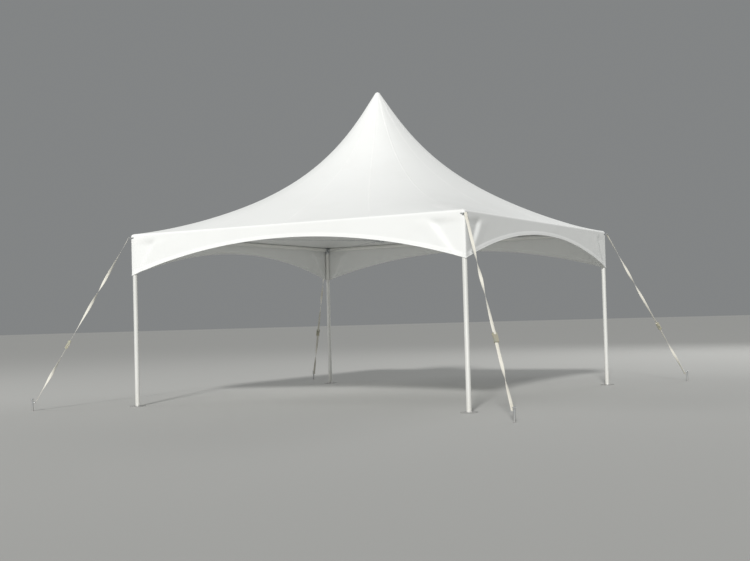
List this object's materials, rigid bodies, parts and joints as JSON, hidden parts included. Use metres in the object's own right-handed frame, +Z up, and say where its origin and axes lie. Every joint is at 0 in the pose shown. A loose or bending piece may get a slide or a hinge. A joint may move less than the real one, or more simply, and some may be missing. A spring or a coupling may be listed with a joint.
{
  "type": "marquee tent",
  "caption": "Square open-sided frame marquee with a drawn-in high-peak roof on a cable-held mast, arched valances and strapped-down corners.",
  "frame": {"origin": "middle of the tent's floor, at ground level under the mast", "axes": "+Z up along the mast, -Y towards the front side, +X towards the right side"},
  "size_m": [6.9026, 6.9026, 4.36],
  "materials": {
    "canopy_fabric": "coated, satin",
    "tube_aluminium": "satin anodised",
    "galvanised_steel": "galvanised, matt",
    "ratchet_steel": "zinc plated, satin",
    "cable_steel": "bright galvanised strand",
    "webbing": "woven, matt"
  },
  "bodies": {
    "root": {"roof_panel_front": "canopy_fabric", "roof_panel_right": "canopy_fabric", "roof_panel_back": "canopy_fabric", "roof_panel_left": "canopy_fabric", "roof_crown": "canopy_fabric", "valance_front": "canopy_fabric", "valance_right": "canopy_fabric", "valance_back": "canopy_fabric", "valance_left": "canopy_fabric", "eave_beam_front": "tube_aluminium", "eave_beam_right": "tube_aluminium", "eave_beam_back": "tube_aluminium", "eave_beam_left": "tube_aluminium", "leg_front_left": "tube_aluminium", "leg_front_right": "tube_aluminium", "leg_back_right": "tube_aluminium", "leg_back_left": "tube_aluminium", "mast": "tube_aluminium", "corner_fitting_front_left": "galvanised_steel", "corner_fitting_front_right": "galvanised_steel", "corner_fitting_back_right": "galvanised_steel", "corner_fitting_back_left": "galvanised_steel", "base_plate_front_left": "galvanised_steel", "base_plate_front_right": "galvanised_steel", "base_plate_back_right": "galvanised_steel", "base_plate_back_left": "galvanised_steel", "mast_foot": "galvanised_steel", "mast_cap": "galvanised_steel", "cross_cable_front_left": "cable_steel", "cross_cable_front_right": "cable_steel", "cross_cable_back_right": "cable_steel", "cross_cable_back_left": "cable_steel", "guy_strap_front_left": "webbing", "guy_strap_front_right": "webbing", "guy_strap_back_right": "webbing", "guy_strap_back_left": "webbing", "guy_ratchet_front_left": "ratchet_steel", "guy_ratchet_front_right": "ratchet_steel", "guy_ratchet_back_right": "ratchet_steel", "guy_ratchet_back_left": "ratchet_steel", "stake_strap_front_left": "webbing", "stake_strap_front_right": "webbing", "stake_strap_back_right": "webbing", "stake_strap_back_left": "webbing", "ground_stake_front_left": "galvanised_steel", "ground_stake_front_right": "galvanised_steel", "ground_stake_back_right": "galvanised_steel", "ground_stake_back_left": "galvanised_steel"}
  },
  "joints": []
}
